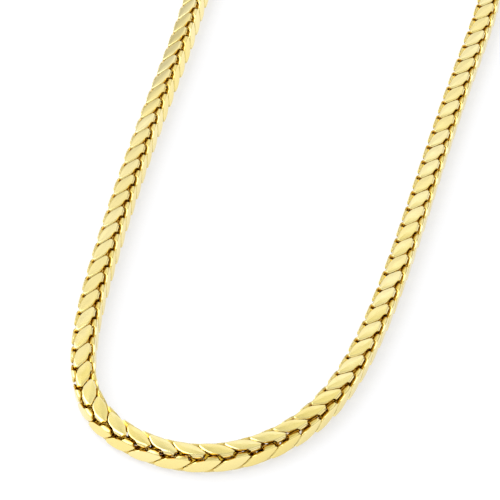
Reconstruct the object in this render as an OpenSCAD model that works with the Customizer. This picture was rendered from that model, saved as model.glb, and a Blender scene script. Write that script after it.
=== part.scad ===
// Wheat chain: a square chain of flat-ground twisted links, closed by a plain clasp.
// It lies flat as a long narrow loop. X runs to the right, Y away from the viewer, Z up.
// Lengths are in millimetres. The floor under the chain is Z = 0, and the origin lies
// under the middle of the loop's box.

/* [Chain] */
// Width of the square chain across its flat faces
chain_w = 5.2; // [5:0.1:5.4]
// Distance between two links of one family, as a share of the chain's width
pitch_ratio = 1.09; // [1.09:0.01:1.2]
// Gap between neighbouring plates on one face
plate_gap = 0.28; // [0.25:0.01:0.6]
// Thickness of the links' flat plates
plate_t = 0.65; // [0.6:0.05:0.75]
// Breadth of the bars that cross inside the chain
bar_w = 0.6; // [0.55:0.05:0.7]
// Height of those bars along the chain
bar_h = 0.85; // [0.75:0.05:0.9]

/* [Clasp] */
// Length of the clasp's plain body
clasp_l = 9; // [8:0.5:10]
// Width of the clasp's plain body
clasp_w = 6; // [5.2:0.1:7]
// Thickness of the clasp's body
clasp_h = 3.6; // [3:0.1:4]
// Thickness of the two flat eyes that hold the last links
eye_t = 0.9; // [0.7:0.05:1]

/* [Hidden] */
gold = [0.93, 0.78, 0.36];

// The chain's middle line on the floor, chosen by hand: columns x, y, roll in degrees.
// The rows are control points of a closed cubic spline, one way round, clasp first.
ROLL = 2;
route = [
    [18.5, 92.5, 0], [10.5, 94.5, 0], [2.5, 96.5, 0], [-9, 94.5, 0], [-18, 87.5, 6],
    [-23, 77.5, 14], [-25.5, 63.5, 20], [-29.1, 43.5, 22], [-34.1, 21.5, 18],
    [-39.4, -4.5, 8], [-44.4, -32.5, 12], [-48.7, -60.5, 8], [-47.2, -86.5, 0],
    [-23, -100.5, 0], [0, -89.5, 0], [12.2, -66.5, 0], [22, -32.5, 0],
    [29.5, -2.5, 0], [37.3, 27.5, 0], [45.4, 55.5, 0], [48.5, 69.5, 0], [45, 81.5, 0],
    [34.5, 88.5, 0], [26.5, 90.5, 0]
];
rows = len(route);
steps = 24;

// Weights of the four control points round a place t between the second and the third,
// and of the same points for the line's direction there
function weights(t) = [
    pow(1 - t, 3) / 6, (3 * pow(t, 3) - 6 * t * t + 4) / 6,
    (-3 * pow(t, 3) + 3 * t * t + 3 * t + 1) / 6, pow(t, 3) / 6
];
function slopes(t) = [
    -pow(1 - t, 2) / 2, (3 * t * t - 4 * t) / 2, (-3 * t * t + 2 * t + 1) / 2, t * t / 2
];
function row(i) = route[(i + rows) % rows];
function blend(i, w) = w[0] * row(i - 1) + w[1] * row(i) + w[2] * row(i + 1) + w[3] * row(i + 2);
function at(u) = blend(floor(u), weights(u - floor(u)));
function along(u) = blend(floor(u), slopes(u - floor(u)));
function stride(i) =
    let (from = at(i / steps), to = at((i + 1) / steps))
        norm([to.x - from.x, to.y - from.y]);

// Length walked from the clasp's middle, beside the place on the spline
walked = [
    for (i = 0, run = 0; i <= rows * steps; run = run + stride(i), i = i + 1) [run, i / steps]
];
loop_l = walked[rows * steps][0];

// Shares of the chain: its rounded corner, where a flat plate ends beside it, and how far
// the bend at the corner reaches along the chain
half = chain_w / 2;
corner = 0.85 * half;
side = 0.54 * half;
heel = 0.44 * half;

// Links of the two families follow each other half a pitch apart
end_gap = 0.15;
wish = chain_w * pitch_ratio;
hold = clasp_l / 2 + side + wish / 2 + end_gap;
pairs = floor((loop_l - 2 * hold) / wish);
apart = (loop_l - 2 * hold) / pairs / 2;

// How far a plate's inner face draws back: at its side, at its front and at its rear
draw_side = 0.35;
draw_front = 0.35;
draw_rear = 0.7;
reach = apart - plate_gap * cos(45);

// Cross-sections of a link, five points each: out from the chain's middle, up and along.
// One lies in the middle of a bar, one at a corner of the chain, one at a plate's end.
bar_z = 0.71 * apart;
bar_x = bar_w / 2;
bar_r = bar_h / 2;
bar = [
    [bar_x, -bar_x, bar_z + 0.9 * bar_r], [bar_x, -bar_x, bar_z - 0.4 * bar_r],
    [0, 0, bar_z - bar_r], [-bar_x, bar_x, bar_z - 0.4 * bar_r],
    [-bar_x, bar_x, bar_z + 0.9 * bar_r]
];
bend = [
    [corner, corner, bar_z + heel], [corner, corner, bar_z - heel],
    [0.55 * half, 0.66 * half, bar_z - 0.7 * heel], [0.41 * half, 0.56 * half, bar_z],
    [0.55 * half, 0.66 * half, bar_z + 0.7 * heel]
];
plate = [
    [side, half, side + reach], [side, half, side - reach],
    [side - draw_side, half - plate_t, side - reach + draw_rear],
    [side - draw_side, half - plate_t, side],
    [side - draw_side, half - plate_t, side + reach - draw_front]
];

// A plate's far end is its near end turned half way round the upright line, and the
// link's lower half is its upper half turned half way round the chain's middle line
function turned(section) = [for (k = [1, 0, 4, 3, 2]) let (p = section[k]) [-p.x, p.y, -p.z]];
function below(section) = [for (k = [3, 2, 1, 0, 4]) let (p = section[k]) [-p.x, -p.y, p.z]];
upper = [bar, bend, plate, turned(plate), turned(bend), turned(bar)];
lower = [for (i = [4:-1:1]) below(upper[i])];
link = [for (section = concat(upper, lower)) each section];
swapped = [for (p = link) [p.y, p.x, p.z]];
sections = 10;
corners = 5;

// Height of the chain's middle over the floor where it leans by a roll
function middle(roll) = max(
    half * cos(roll) + side * sin(roll), corner * (cos(roll) + sin(roll))
);

// A link's point carried to a length s on the chain's middle line
function placed(p, s) =
    let (
        u = lookup(s + p.z, walked), m = at(u), d = along(u), t = [d.x, d.y] / norm([d.x, d.y]),
        out = p.x * cos(m[ROLL]) + p.y * sin(m[ROLL]),
        up = p.y * cos(m[ROLL]) - p.x * sin(m[ROLL])
    )
    [m.x + t.y * out, m.y - t.x * out, middle(m[ROLL]) + up];

// The link's skin has a four-sided patch between each two corners of each two sections,
// and a patch is cut into triangles along its shorter diagonal. From the last section
// back to the first the corners' numbers move on by one.
function patch(i, k) =
    let (next = (i + 1) % sections * corners, shift = i == sections - 1 ? 1 : 0)
    [
        i * corners + k, i * corners + (k + 1) % corners, next + (k + shift) % corners,
        next + (k + 1 + shift) % corners
    ];
function cut(q) =
    norm(link[q[0]] - link[q[3]]) > norm(link[q[1]] - link[q[2]])
        ? [[q[0], q[1], q[2]], [q[1], q[3], q[2]]]
        : [[q[0], q[3], q[2]], [q[0], q[1], q[3]]];
skin = [for (i = [0:sections - 1], k = [0:corners - 1]) each cut(patch(i, k))];

// A triangle of the skin of the link whose points start at a number. A swapped link is
// mirrored, so its triangles are wound the other way.
function wound(face, start, swap) = [for (k = swap ? [2, 1, 0] : [0, 1, 2]) start + face[k]];

module chain(first, last) {
    color(gold) polyhedron(
        points = [
            for (j = [first:last], p = j % 2 == 0 ? link : swapped) placed(p, hold + j * apart)
        ],
        faces = [
            for (j = [first:last], face = skin) wound(face, (j - first) * len(link), j % 2 == 1)
        ]
    );
}

module chain_left() {
    chain(0, pairs);
}

module chain_right() {
    chain(pairs + 1, 2 * pairs);
}

// Plan of a plain bar with rounded ends, centred
module slab(l, w, r) {
    offset(r = r, $fn = 32) square([l - 2 * r, w - 2 * r], center = true);
}

module clasp() {
    chamfer = 0.5;
    tab_w = 2 * half - 0.1;
    tab_l = 2 * (hold - 0.3);
    hole_w = 2.9;
    hole_l = 1.9;
    m = at(0);
    d = along(0);
    color(gold) translate([m.x, m.y, 0]) rotate([0, 0, atan2(d.y, d.x)]) {
        hull() {
            linear_extrude(clasp_h) slab(clasp_l - 2 * chamfer, clasp_w - 2 * chamfer, 1);
            translate([0, 0, chamfer])
                linear_extrude(clasp_h - 2 * chamfer) slab(clasp_l, clasp_w, 1.5);
        }
        translate([0, 0, half - eye_t / 2]) linear_extrude(eye_t) difference() {
            slab(tab_l, tab_w, 1.4);
            for (way = [-1, 1]) translate([way * (hold - bar_z - 0.1), 0])
                slab(hole_l, hole_w, 0.5);
        }
    }
}

chain_left();
chain_right();
clasp();
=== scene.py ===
"""A wheat chain: a square chain of ground gold links, laid as a long loop on a pale floor.

Lengths are in metres. X runs to the right, Y away from the viewer and Z up. A link is
modelled once, straight, with X along the chain, Y to the left of it and Z up. Its copies
are set out along X, joined, and bent along the chain's middle line by a Curve modifier.
"""

import logging
import math
import random
from collections.abc import Callable
from dataclasses import dataclass, field
from enum import Enum

import bmesh
import bpy
from mathutils import Matrix, Vector


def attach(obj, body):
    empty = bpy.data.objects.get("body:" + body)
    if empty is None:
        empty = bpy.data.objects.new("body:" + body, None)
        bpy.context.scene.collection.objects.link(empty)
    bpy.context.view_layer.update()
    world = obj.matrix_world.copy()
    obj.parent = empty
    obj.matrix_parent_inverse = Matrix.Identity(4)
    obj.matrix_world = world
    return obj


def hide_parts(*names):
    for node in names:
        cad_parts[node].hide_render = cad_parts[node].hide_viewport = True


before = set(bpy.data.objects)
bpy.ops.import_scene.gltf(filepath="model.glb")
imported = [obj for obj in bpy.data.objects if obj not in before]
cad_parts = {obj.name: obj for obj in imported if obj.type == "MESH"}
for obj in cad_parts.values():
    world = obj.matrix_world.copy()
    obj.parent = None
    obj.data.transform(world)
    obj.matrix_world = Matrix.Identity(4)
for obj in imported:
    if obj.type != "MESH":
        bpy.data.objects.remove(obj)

MM = 0.001
BODY = "root"
SEEDS = {"chain_left": 3, "chain_right": 4}  # of the links' sways and tones
LOG = logging.getLogger("wheat_chain")

Span = tuple[float, float]
Place = tuple[float, float, float]
Colour = tuple[float, float, float]


class Family(Enum):
    """The two families of links, by the faces of the chain that their plates lie on."""

    FLAT = "top and bottom"
    EDGE = "outer and inner side"


def select_only(*objects: bpy.types.Object) -> None:
    """Selects these objects alone and makes the first one active.

    Args:
        *objects: the objects to select, the active one first.
    """
    if bpy.context.object is not None and bpy.context.object.mode != "OBJECT":
        bpy.ops.object.mode_set(mode="OBJECT")
    bpy.ops.object.select_all(action="DESELECT")
    for item in objects:
        item.select_set(True)
    bpy.context.view_layer.objects.active = objects[0] if objects else None


def select_corners(piece: bpy.types.Object, chosen: set[int]) -> None:
    """Selects some corners of a mesh in edit mode, by number.

    Args:
        piece: the object in edit mode.
        chosen: the numbers of its corners to select.
    """
    mesh = bmesh.from_edit_mesh(piece.data)
    mesh.verts.ensure_lookup_table()
    for corner in mesh.verts:
        corner.select_set(corner.index in chosen)
    mesh.select_flush_mode()
    bmesh.update_edit_mesh(piece.data)


def select_edges(piece: bpy.types.Object, test: Callable[[Vector, Vector], bool]) -> None:
    """Selects some edges of a mesh in edit mode, by the places of their ends.

    Args:
        piece: the object in edit mode.
        test: says for an edge's two ends whether it is wanted.
    """
    bpy.ops.mesh.select_mode(type="EDGE")
    bpy.ops.mesh.select_all(action="DESELECT")
    mesh = bmesh.from_edit_mesh(piece.data)
    for edge in mesh.edges:
        if test(edge.verts[0].co, edge.verts[1].co):
            edge.select_set(True)
    bmesh.update_edit_mesh(piece.data)


def twin(model: bpy.types.Object) -> bpy.types.Object:
    """Copies an object.

    Args:
        model: the object.

    Returns:
        The copy, with a mesh of its own.
    """
    copy = model.copy()
    copy.data = model.data.copy()
    bpy.context.scene.collection.objects.link(copy)
    return copy


def dress(piece: bpy.types.Object, finish: bpy.types.Material) -> None:
    """Gives a piece one finish all over.

    Args:
        piece: the piece.
        finish: its finish.
    """
    piece.data.materials.clear()
    piece.data.materials.append(finish)


def spread(
    tree: bpy.types.NodeTree, value: bpy.types.NodeSocket, given: Span, wanted: Span = (0, 1)
) -> bpy.types.NodeSocket:
    """Spreads the values of one span over another.

    Args:
        tree: the nodes that it is added to.
        value: the socket with the value.
        given: the span that the value comes in.
        wanted: the span that it is spread over.

    Returns:
        The socket with the new value.
    """
    node = tree.nodes.new("ShaderNodeMapRange")
    for name, end in zip(("From Min", "From Max", "To Min", "To Max"), (*given, *wanted)):
        node.inputs[name].default_value = end
    tree.links.new(value, node.inputs["Value"])
    return node.outputs["Result"]


def unevenness(
    tree: bpy.types.NodeTree, place: bpy.types.NodeSocket, fineness: float, detail: float
) -> bpy.types.NodeSocket:
    """Adds a soft noise.

    Args:
        tree: the nodes that it is added to.
        place: the coordinates that it follows.
        fineness: how many grains there are in one unit of length.
        detail: how many finer layers it has.

    Returns:
        The socket with the value.
    """
    noise = tree.nodes.new("ShaderNodeTexNoise")
    noise.inputs["Scale"].default_value = fineness
    noise.inputs["Detail"].default_value = detail
    tree.links.new(place, noise.inputs["Vector"])
    return noise.outputs["Fac"]


@dataclass(frozen=True)
class LinkSizes:
    """The chain's driving sizes, as the part's source has them."""

    chain_w: float = 5.2 * MM
    pitch_ratio: float = 1.09
    clasp_l: float = 9 * MM
    end_gap: float = 0.15 * MM
    bar_share: float = 0.71  # from a link's middle to its bars, in half pitches
    side_share: float = 0.54
    plate_share: float = 0.68  # the scene's plates keep their full height further out

    @property
    def half(self) -> float:
        """Half the chain's width."""
        return self.chain_w / 2

    @property
    def side(self) -> float:
        """How far out a plate of the part's own links ends."""
        return self.side_share * self.half

    @property
    def plate_end(self) -> float:
        """How far out a ground plate keeps its full height."""
        return self.plate_share * self.half

    @property
    def wish(self) -> float:
        """The wanted distance between two links of one family."""
        return self.chain_w * self.pitch_ratio

    @property
    def hold(self) -> float:
        """From the clasp's middle to the first link's middle."""
        return self.clasp_l / 2 + self.side + self.wish / 2 + self.end_gap

    def pairs(self, loop: float) -> int:
        """Number of link pairs on the loop.

        Args:
            loop: the loop's length.

        Returns:
            How many links each family has beyond the first.
        """
        return math.floor((loop - 2 * self.hold) / self.wish)

    def apart(self, loop: float) -> float:
        """Distance from a link to the next one of the other family.

        Args:
            loop: the loop's length.

        Returns:
            Half the chain's pitch.
        """
        return (loop - 2 * self.hold) / self.pairs(loop) / 2


@dataclass(frozen=True)
class Route:
    """The chain's middle line on the floor, a closed cubic spline with a roll."""

    rows: tuple[Place, ...] = (
        (18.5, 92.5, 0), (10.5, 94.5, 0), (2.5, 96.5, 0), (-9, 94.5, 0), (-18, 87.5, 6),
        (-23, 77.5, 14), (-25.5, 63.5, 20), (-29.1, 43.5, 22), (-34.1, 21.5, 18),
        (-39.4, -4.5, 8), (-44.4, -32.5, 12), (-48.7, -60.5, 8), (-47.2, -86.5, 0),
        (-23, -100.5, 0), (0, -89.5, 0), (12.2, -66.5, 0), (22, -32.5, 0),
        (29.5, -2.5, 0), (37.3, 27.5, 0), (45.4, 55.5, 0), (48.5, 69.5, 0), (45, 81.5, 0),
        (34.5, 88.5, 0), (26.5, 90.5, 0),
    )  # x and y in millimetres and the roll in degrees, as the part's own route has them
    order: int = 4  # of a cubic spline
    steps: int = 24
    room: float = 0.05 * MM  # for the links' sway over the floor

    def start(self) -> tuple[Vector, float]:
        """Finds the clasp's middle on the floor and the way that the chain runs there.

        A cubic spline passes a control point at a sixth of the points before and after it
        and four sixths of the point itself.

        Returns:
            The place in metres and the turn in radians.
        """
        before, here, after = self.rows[-1], self.rows[0], self.rows[1]
        x, y = ((before[k] + 4 * here[k] + after[k]) / 6 for k in (0, 1))
        return Vector((x, y, 0)) * MM, math.atan2(after[1] - before[1], after[0] - before[0])

    def height(self, size: LinkSizes, roll: float) -> float:
        """Height of the chain's middle over the floor where it leans.

        Args:
            size: the chain's sizes.
            roll: the lean in radians.

        Returns:
            The height in metres.
        """
        return size.half * math.cos(roll) + size.plate_end * math.sin(roll) + self.room

    def guide(self, size: LinkSizes) -> bpy.types.Object:
        """Draws the line as a curve that starts in the clasp's middle.

        Args:
            size: the chain's sizes.

        Returns:
            The curve object.
        """
        curve = bpy.data.curves.new("guide", "CURVE")
        curve.dimensions = "3D"
        curve.twist_mode = "Z_UP"
        spline = curve.splines.new("NURBS")
        spline.points.add(len(self.rows) - 1)
        for number, point in enumerate(spline.points):
            x, y, lean = self.rows[number - 1]
            roll = math.radians(lean)
            point.co = (x * MM, y * MM, self.height(size, roll), 1)
            point.tilt = roll
        spline.order_u = self.order
        spline.use_cyclic_u = True
        spline.resolution_u = self.steps
        line = bpy.data.objects.new("guide", curve)
        bpy.context.scene.collection.objects.link(line)
        return line


@dataclass(frozen=True)
class Station:
    """One cross-section of a link: its middle, half its size both ways, and its lean."""

    along: float
    out: float
    up: float
    long: float
    thick: float
    lean: float

    @property
    def place(self) -> Vector:
        """The section's middle in the straight link's frame."""
        return Vector((self.along, -self.out, self.up))

    def turned(self) -> "Station":
        """The same section half way round the upright line."""
        return Station(
            -self.along, -self.out, self.up, self.long, self.thick, math.pi - self.lean
        )

    def below(self) -> "Station":
        """The same section half way round the chain's middle line."""
        return Station(self.along, -self.out, -self.up, self.long, self.thick, self.lean)


@dataclass
class Link:
    """A twisted link: two ground plates joined by four bends and two crossing bars."""

    size: LinkSizes
    apart: float
    sides: int = 8
    fullness: float = 1.22  # how far every second corner of a section stands out
    crisp: float = math.radians(50)
    plate_room: float = 0.12 * MM  # what a plate's half length leaves of half a pitch
    shortest: float = 0.15 * MM  # the least edge that is left round a ground plate
    cut_slack: float = 1e-7  # corners this near the cut count as on it
    aside: Place = (30 * MM, 10 * MM, 0)  # the corners are sorted by their distance from here
    # how far in each step of the dome lies, and how much it rises
    dome: tuple[tuple[float, float], ...] = ((0.12 * MM, 0.03 * MM), (0.14 * MM, 0.012 * MM))

    def quarter(self) -> list[Station]:
        """The stations from a bar's middle to a plate's middle.

        Returns:
            The stations in order, in metres and radians.
        """
        half, reach = self.size.half, self.apart - self.plate_room
        bar = self.size.bar_share * self.apart
        rows = (
            # along, out, up, half length, half thickness, lean in degrees
            (bar, 0, 0, 0.17 * half, 0.17 * half, 225),
            (bar, 0.31 * half, 0.31 * half, 0.37 * half, 0.17 * half, 220),
            (bar, 0.49 * half, 0.5 * half, 0.46 * half, 0.17 * half, 180),
            (0.99 * bar, 0.64 * half, 0.68 * half, 0.42 * half, 0.17 * half, 135),
            (0.9 * bar, 0.55 * half, 0.84 * half, 0.6 * half, 0.19 * half, 114),
            (0.67 * bar, 0.47 * half, 0.9 * half, 0.85 * reach, 0.2 * half, 93),
            (0.36 * bar, 0.28 * half, 0.9 * half, 0.99 * reach, 0.2 * half, 90),
            (0, 0, 0.9 * half, reach, 0.2 * half, 90),
        )
        return [Station(*row[:5], math.radians(row[5])) for row in rows]

    def ring(self) -> list[Station]:
        """All stations of the closed link in order, each but once.

        Returns:
            The stations, the first on the bar ahead.
        """
        rise = self.quarter()
        fall = [station.turned() for station in rise[-2::-1]]
        upper = rise + fall
        lower = [station.below() for station in upper[-2:0:-1]]
        return upper + lower

    def model(self) -> bpy.types.Object:
        """Models the straight link of the flat family.

        Returns:
            The link, with its plates on top and at the bottom.
        """
        stations = self.ring()
        first = stations[0]
        select_only()
        bpy.ops.mesh.primitive_circle_add(
            vertices=self.sides, radius=first.thick, location=first.place,
            rotation=(first.lean, 0, 0),
        )
        link = bpy.context.object
        link.name = "link"
        bpy.ops.object.transform_apply(location=True, rotation=True, scale=True)
        bpy.ops.object.mode_set(mode="EDIT")
        bpy.ops.mesh.select_mode(type="VERT")
        select_corners(link, set(range(1, self.sides, 2)))
        bpy.ops.transform.resize(value=(self.fullness,) * 3, center_override=first.place)
        bpy.ops.mesh.select_all(action="SELECT")
        bpy.ops.transform.resize(
            value=(first.long / first.thick, 1, 1), center_override=first.place
        )
        for here, there in zip(stations, stations[1:]):
            self.step(here, there)
        self.close(link, len(stations))
        self.grind()
        bpy.ops.object.mode_set(mode="OBJECT")
        bpy.ops.object.shade_smooth_by_angle(angle=self.crisp)
        return link

    def step(self, here: Station, there: Station) -> None:
        """Extrudes the selected section to the next station.

        Args:
            here: the station that the selected section is at.
            there: the station that it is drawn out to.
        """
        bpy.ops.mesh.extrude_region_move(
            TRANSFORM_OT_translate={"value": there.place - here.place}
        )
        thicker = there.thick / here.thick
        bpy.ops.transform.resize(
            value=(there.long / here.long, thicker, thicker), center_override=there.place
        )
        turn = (there.lean - here.lean + math.pi / 2) % math.pi - math.pi / 2
        bpy.ops.transform.rotate(
            value=-turn, orient_axis="X", center_override=there.place
        )

    def close(self, link: bpy.types.Object, count: int) -> None:
        """Bridges the last section back to the first one.

        Args:
            link: the link in edit mode.
            count: how many sections it has.
        """
        start = set(range(self.sides))
        end = set(range(self.sides * (count - 1), self.sides * count))
        select_corners(link, start | end)
        bpy.ops.mesh.bridge_edge_loops()
        bpy.ops.mesh.select_all(action="SELECT")
        bpy.ops.mesh.normals_make_consistent(inside=False)

    def grind(self) -> None:
        """Grinds the plates at the chain's two faces, and leaves them a very slight dome.

        A plate's corners are sorted before the closest of them are merged, because which of
        two corners is kept depends on their order.
        """
        top = self.size.half - sum(rise for _, rise in self.dome)
        bpy.context.scene.cursor.location = self.aside
        for up in (1, -1):
            bpy.ops.mesh.select_all(action="SELECT")
            bpy.ops.mesh.bisect(
                plane_co=(0, 0, up * top), plane_no=(0, 0, up),
                use_fill=True, clear_outer=True, threshold=self.cut_slack,
            )
            bpy.ops.mesh.sort_elements(type="CURSOR_DISTANCE", elements={"VERT"})
            bpy.ops.mesh.remove_doubles(threshold=self.shortest)
            for width, rise in self.dome:
                bpy.ops.mesh.inset(thickness=width, depth=rise, use_even_offset=False)
            bpy.ops.mesh.poke()


def swapped(link: bpy.types.Object) -> bpy.types.Object:
    """Makes the link of the edge family, with its plates on the chain's sides.

    Args:
        link: the link of the flat family.

    Returns:
        A mirrored copy of it.
    """
    copy = twin(link)
    swap = Matrix(((1, 0, 0, 0), (0, 0, -1, 0), (0, -1, 0, 0), (0, 0, 0, 1)))
    copy.data.transform(swap)
    copy.data.flip_normals()
    return copy


@dataclass(frozen=True)
class ChainGold:
    """Pale yellow gold with a mirror polish, with painted shade darkening the crevices between
    the links.
    """

    name: str = "chain_gold"
    bright: Colour = (0.98, 0.86, 0.45)
    warm: Colour = (0.94, 0.77, 0.27)
    # painted shade: the dark brown gold that the crevices between the links turn to
    crevice_shade: Colour = (0.64, 0.415, 0.04)
    tone_span: Span = (0, 1.3)  # marks of the bright and of the warm gold
    depth_span: Span = (0.02, 0.24)  # marks of the outside and of the crevices
    rough: Span = (0.06, 0.17)  # of the smooth and of the worn places
    wear_grains: float = 700  # to a metre
    wear_span: Span = (0.3, 0.7)
    relief_grains: float = 2600  # to a metre
    relief: float = 0.35
    relief_depth: float = 0.01 * MM
    detail: float = 2

    def material(self) -> bpy.types.Material:
        """Builds the finish.

        Returns:
            The material.
        """
        made = bpy.data.materials.new(self.name)
        made.use_nodes = True
        tree = made.node_tree
        shader = tree.nodes["Principled BSDF"]
        shader.inputs["Metallic"].default_value = 1
        # the mark holds each link's chance tone and, for the edge family, a painted reflection
        body = self.mix(tree, "tone_and_reflection", self.tone_span)
        body.inputs["A"].default_value = (*self.bright, 1)
        body.inputs["B"].default_value = (*self.warm, 1)
        # painted shade: the gold darkens towards the crevices, by the depth mark
        crevice_shading = self.mix(tree, "depth", self.depth_span)
        tree.links.new(body.outputs["Result"], crevice_shading.inputs["A"])
        crevice_shading.inputs["B"].default_value = (*self.crevice_shade, 1)
        tree.links.new(crevice_shading.outputs["Result"], shader.inputs["Base Color"])
        place = tree.nodes.new("ShaderNodeTexCoord").outputs["Object"]
        wear = unevenness(tree, place, self.wear_grains, self.detail)
        polish = spread(tree, wear, self.wear_span, self.rough)
        tree.links.new(polish, shader.inputs["Roughness"])
        relief = tree.nodes.new("ShaderNodeBump")
        relief.inputs["Strength"].default_value = self.relief
        relief.inputs["Distance"].default_value = self.relief_depth
        waves = unevenness(tree, place, self.relief_grains, self.detail)
        tree.links.new(waves, relief.inputs["Height"])
        tree.links.new(relief.outputs["Normal"], shader.inputs["Normal"])
        return made

    def mix(self, tree: bpy.types.NodeTree, mark: str, span: Span) -> bpy.types.Node:
        """Adds a mix of two colours by a mark that the mesh's corners carry.

        Args:
            tree: the material's nodes.
            mark: the mark's name.
            span: the marks of the first and of the second colour.

        Returns:
            The mix node.
        """
        value = tree.nodes.new("ShaderNodeAttribute")
        value.attribute_name = mark
        mix = tree.nodes.new("ShaderNodeMix")
        mix.data_type = "RGBA"
        tree.links.new(spread(tree, value.outputs["Fac"], span), mix.inputs["Factor"])
        return mix


@dataclass
class Chain:
    """The links between two numbers, bent along the route as one piece."""

    name: str
    first: int
    last: int
    size: LinkSizes
    apart: float
    seed: int
    sway: float = math.radians(0.9)
    warmth: float = 0.8  # the most that chance warms a link's gold
    # painted reflection: the edge family's side plates get a warmer gold, for the shaded floor
    # and gold they mirror
    edge_painted_reflection: float = 0.5  # how much warmer the edge family is
    squareness: int = 4  # power of the rounded square that the depth is measured by
    links: dict[Family, bpy.types.Object] = field(default_factory=dict)

    def build(self, guide: bpy.types.Object, gold: bpy.types.Material) -> bpy.types.Object:
        """Sets out the links, joins them and bends them along the route.

        Args:
            guide: the curve of the chain's middle line.
            gold: the links' finish.

        Returns:
            The finished piece.
        """
        chance = random.Random(self.seed)
        copies = []
        for number in range(self.first, self.last + 1):
            family = Family.FLAT if number % 2 == 0 else Family.EDGE
            copies.append(self.copy(family, number, chance))
        select_only(*copies)
        bpy.ops.object.join()
        chain = bpy.context.object
        chain.name = self.name
        self.mark_depth(chain)
        bend = chain.modifiers.new("bend", "CURVE")
        bend.object = guide
        bend.deform_axis = "POS_X"
        bpy.ops.object.modifier_apply(modifier=bend.name)
        dress(chain, gold)
        return chain

    def copy(self, family: Family, number: int, chance: random.Random) -> bpy.types.Object:
        """Copies a link to its place on the straight chain, with its own sway and tone.

        Args:
            family: the family of the link.
            number: the copy's number along the chain.
            chance: the seeded source of the sways and tones.

        Returns:
            The copy, with a mesh of its own.
        """
        copy = twin(self.links[family])
        sway = Matrix.Rotation(chance.uniform(-1, 1) * self.sway, 4, "X")
        sway @= Matrix.Rotation(chance.uniform(-1, 1) * self.sway, 4, "Y")
        along = self.size.hold + number * self.apart
        copy.data.transform(Matrix.Translation((along, 0, 0)) @ sway)
        warmth = self.warmth * chance.random()
        # painted reflection: the edge family's side plates are made warmer
        if family is Family.EDGE:
            warmth += self.edge_painted_reflection
        tone_and_reflection = copy.data.attributes.new("tone_and_reflection", "FLOAT", "POINT")
        tone_and_reflection.data.foreach_set("value", [warmth] * len(copy.data.vertices))
        return copy

    def mark_depth(self, chain: bpy.types.Object) -> None:
        """Marks how deep each corner lies inside the square chain, for the painted shade in
        the crevices.

        Args:
            chain: the straight chain.
        """
        power = self.squareness
        depth = chain.data.attributes.new("depth", "FLOAT", "POINT")
        for corner, mark in zip(chain.data.vertices, depth.data):
            outer = (corner.co.y ** power + corner.co.z ** power) ** (1 / power)
            mark.value = max(0.0, 1 - outer / self.size.half)


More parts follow.
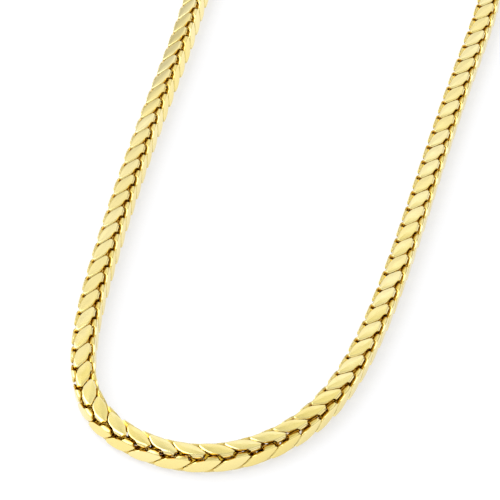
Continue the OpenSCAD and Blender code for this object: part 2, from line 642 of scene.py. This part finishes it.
@dataclass
class Clasp:
    """The plain closed clasp with a flat eye at each end for the last links."""

    size: LinkSizes
    apart: float
    width: float = 6 * MM
    height: float = 3.6 * MM
    rim: float = 0.5 * MM
    rim_steps: int = 4
    corner: float = 1.5 * MM
    corner_steps: int = 6
    eye_thick: float = 0.9 * MM
    eye_corner: float = 1.4 * MM
    eye_end: float = 0.3 * MM  # from the eye's end to the last link's middle
    eye_narrower: float = 0.1 * MM  # than the chain
    eye_rim: float = 0.14 * MM
    eye_rim_steps: int = 2
    eye_crisp: float = math.radians(50)
    hole: tuple[float, float] = (1.9 * MM, 2.9 * MM)
    hole_corner: float = 0.5 * MM
    hole_back: float = 0.1 * MM  # from the hole's middle to the last link's bar
    crisp: float = math.radians(35)
    level: float = 1e-6  # heights closer than this count as one

    def build(self, place: Vector, turn: float, gold: bpy.types.Material) -> bpy.types.Object:
        """Models the clasp and lays it between the chain's ends.

        Args:
            place: its middle on the floor.
            turn: the way that the chain runs there, in radians.
            gold: its finish.

        Returns:
            The finished clasp.
        """
        body = self.body()
        self.combine(body, self.eyes(), "UNION")
        body.name = "clasp_body"
        body.rotation_euler = (0, 0, turn)
        body.location = place
        bpy.ops.object.transform_apply(location=True, rotation=True, scale=True)
        bpy.ops.object.shade_smooth_by_angle(angle=self.crisp)
        dress(body, gold)
        return body

    def body(self) -> bpy.types.Object:
        """Models the body, a block with rounded corners and softened rims.

        Returns:
            The body.
        """
        extent = Vector((self.size.clasp_l, self.width, self.height))
        body = self.block(extent, Vector((0, 0, self.height / 2)), self.corner)
        bpy.ops.object.mode_set(mode="EDIT")
        select_edges(body, lambda a, b: abs(a.z - b.z) < self.level)
        bpy.ops.mesh.bevel(offset=self.rim, segments=self.rim_steps, affect="EDGES")
        bpy.ops.object.mode_set(mode="OBJECT")
        return body

    def eyes(self) -> bpy.types.Object:
        """Models the flat strip that runs through the body and has an eye at each end.

        Returns:
            The strip.
        """
        middle = Vector((0, 0, self.size.half))
        extent = Vector((
            2 * (self.size.hold - self.eye_end), 2 * self.size.half - self.eye_narrower,
            self.eye_thick,
        ))
        strip = self.block(extent, middle, self.eye_corner)
        reach = self.size.hold - self.size.bar_share * self.apart - self.hole_back
        for way in (1, -1):
            hole = Vector((*self.hole, 3 * self.eye_thick))
            cutter = self.block(hole, middle + Vector((way * reach, 0, 0)), self.hole_corner)
            self.combine(strip, cutter, "DIFFERENCE")
        edge = strip.modifiers.new("edge", "BEVEL")
        edge.width = self.eye_rim
        edge.segments = self.eye_rim_steps
        edge.limit_method = "ANGLE"
        edge.angle_limit = self.eye_crisp
        bpy.ops.object.modifier_apply(modifier=edge.name)
        return strip

    def block(self, extent: Vector, middle: Vector, corner: float) -> bpy.types.Object:
        """Models a block with rounded upright corners.

        Args:
            extent: its length, width and height.
            middle: its middle.
            corner: the radius of its upright corners.

        Returns:
            The block.
        """
        select_only()
        bpy.ops.mesh.primitive_cube_add(size=1, location=middle)
        block = bpy.context.object
        block.scale = extent
        bpy.ops.object.transform_apply(location=True, rotation=True, scale=True)
        bpy.ops.object.mode_set(mode="EDIT")
        select_edges(block, lambda a, b: abs(a.z - b.z) > extent.z / 2)
        bpy.ops.mesh.bevel(offset=corner, segments=self.corner_steps, affect="EDGES")
        bpy.ops.object.mode_set(mode="OBJECT")
        return block

    def combine(self, piece: bpy.types.Object, other: bpy.types.Object, how: str) -> None:
        """Adds another block to a piece, or cuts the piece with it.

        Args:
            piece: the piece that is kept.
            other: the other block, which is used up.
            how: the kind of the boolean.
        """
        select_only(piece)
        cut = piece.modifiers.new("cut", "BOOLEAN")
        cut.operation = how
        cut.object = other
        bpy.ops.object.modifier_apply(modifier=cut.name)
        bpy.data.objects.remove(other)


@dataclass(frozen=True)
class FloorPaper:
    """Pale paper with a glow of its own, which keeps it nearly white and its shadows light."""

    name: str = "floor_paper"
    colour: Colour = (0.35, 0.355, 0.4)
    glow: float = 0.64
    rough: float = 0.7
    gloss: float = 0.2

    def material(self) -> bpy.types.Material:
        """Builds the finish.

        Returns:
            The material.
        """
        made = bpy.data.materials.new(self.name)
        made.use_nodes = True
        shader = made.node_tree.nodes["Principled BSDF"]
        shader.inputs["Base Color"].default_value = (*self.colour, 1)
        shader.inputs["Emission Color"].default_value = (1, 1, 1, 1)
        shader.inputs["Emission Strength"].default_value = self.glow
        shader.inputs["Roughness"].default_value = self.rough
        shader.inputs["Specular IOR Level"].default_value = self.gloss
        return made


@dataclass(frozen=True)
class Tent:
    """The white studio tent round the floor, with a little unevenness for its folds."""

    bands: tuple[tuple[float, Colour], ...] = (
        (0, (0.42, 0.4, 0.36)), (0.34, (0.72, 0.72, 0.72)), (0.5, (0.98, 0.98, 0.98)),
        (0.67, (1, 1, 1)), (0.705, (0.89, 0.87, 0.64)), (0.86, (0.74, 0.73, 0.62)),
    )  # colour by the sine of the height over the horizon
    zenith: Colour = (0.6, 0.6, 0.58)
    power: float = 1.06
    folds: float = 9
    fold_detail: float = 1
    fold_span: Span = (0.35, 0.65)
    fold_shade: Span = (0.82, 1.1)

    def hang(self) -> None:
        """Makes the tent the scene's world, coloured by height."""
        world = bpy.data.worlds.new("studio")
        world.use_nodes = True
        bpy.context.scene.world = world
        tree = world.node_tree
        way = tree.nodes.new("ShaderNodeTexCoord").outputs["Generated"]
        split = tree.nodes.new("ShaderNodeSeparateXYZ")
        tree.links.new(way, split.inputs["Vector"])
        cloth = tree.nodes.new("ShaderNodeValToRGB")
        rows = cloth.color_ramp.elements
        rows[0].color = (*self.bands[0][1], 1)
        rows[1].color = (*self.zenith, 1)
        for height, colour in self.bands[1:]:
            rows.new(height).color = (*colour, 1)
        tree.links.new(split.outputs["Z"], cloth.inputs["Fac"])
        folds = unevenness(tree, way, self.folds, self.fold_detail)
        shade = spread(tree, folds, self.fold_span, self.fold_shade)
        folded = tree.nodes.new("ShaderNodeVectorMath")
        folded.operation = "SCALE"
        tree.links.new(cloth.outputs["Color"], folded.inputs[0])
        tree.links.new(shade, folded.inputs["Scale"])
        back = tree.nodes["Background"]
        tree.links.new(folded.outputs["Vector"], back.inputs["Color"])
        back.inputs["Strength"].default_value = self.power


@dataclass
class Studio:
    """The pale floor, the soft lights and the camera."""

    camera_place: Place = (-0.0122, -0.5282, 0.435)
    camera_tilt: float = math.radians(49)
    lens: float = 212.4
    sensor: float = 36
    clip: Span = (0.01, 50)
    floor_width: float = 12
    lamp_place: Place = (-1.5, 0.4, 1.5)
    lamp_width: float = 2.8
    lamp_power: float = 46

    def camera(self) -> None:
        """Puts the camera at the photograph's viewing angle."""
        data = bpy.data.cameras.new("camera")
        data.lens = self.lens
        data.sensor_width = self.sensor
        data.clip_start, data.clip_end = self.clip
        camera = bpy.data.objects.new("camera", data)
        camera.location = self.camera_place
        camera.rotation_euler = (self.camera_tilt, 0, 0)
        bpy.context.scene.collection.objects.link(camera)
        bpy.context.scene.camera = camera

    def floor(self) -> None:
        """Lays the plain pale floor."""
        select_only()
        bpy.ops.mesh.primitive_plane_add(size=self.floor_width, location=(0, 0, 0))
        floor = bpy.context.object
        floor.name = "floor"
        dress(floor, FloorPaper().material())

    def light(self) -> None:
        """Sets the soft studio light: the tent, and one lamp that faces the chain."""
        Tent().hang()
        data = bpy.data.lights.new("sky_left", "AREA")
        data.shape = "RECTANGLE"
        data.size = data.size_y = self.lamp_width
        data.energy = self.lamp_power
        lamp = bpy.data.objects.new("sky_left", data)
        lamp.location = self.lamp_place
        lamp.rotation_euler = Vector(self.lamp_place).to_track_quat("Z", "Y").to_euler()
        bpy.context.scene.collection.objects.link(lamp)
        bpy.context.scene.view_settings.view_transform = "Standard"


def main() -> None:
    """Builds the scene piece by piece and reports each one."""
    logging.basicConfig(level=logging.INFO, format="%(name)s: %(message)s")
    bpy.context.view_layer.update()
    studio = Studio()
    studio.camera()
    size = LinkSizes()
    route = Route()
    guide = route.guide(size)
    loop = guide.data.splines[0].calc_length(resolution=route.steps)
    pairs, apart = size.pairs(loop), size.apart(loop)
    LOG.info("loop %.1f mm, %d pairs, half pitch %.3f mm", loop / MM, pairs, apart / MM)
    flat = Link(size, apart).model()
    edge = swapped(flat)
    kinds = {Family.FLAT: flat, Family.EDGE: edge}
    gold = ChainGold().material()
    for name, first, last in (("chain_left", 0, pairs), ("chain_right", pairs + 1, 2 * pairs)):
        strand = Chain(name + "_links", first, last, size, apart, SEEDS[name], links=kinds)
        made = strand.build(guide, gold)
        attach(made, BODY)
        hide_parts(name)
        LOG.info("%s: %d faces", made.name, len(made.data.polygons))
    for helper in (flat, edge, guide):
        bpy.data.objects.remove(helper)
    clasp = Clasp(size, apart).build(*route.start(), ChainGold(name="clasp_gold").material())
    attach(clasp, BODY)
    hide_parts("clasp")
    LOG.info("%s: %d faces", clasp.name, len(clasp.data.polygons))
    studio.floor()
    studio.light()


if __name__ == "__main__":
    main()
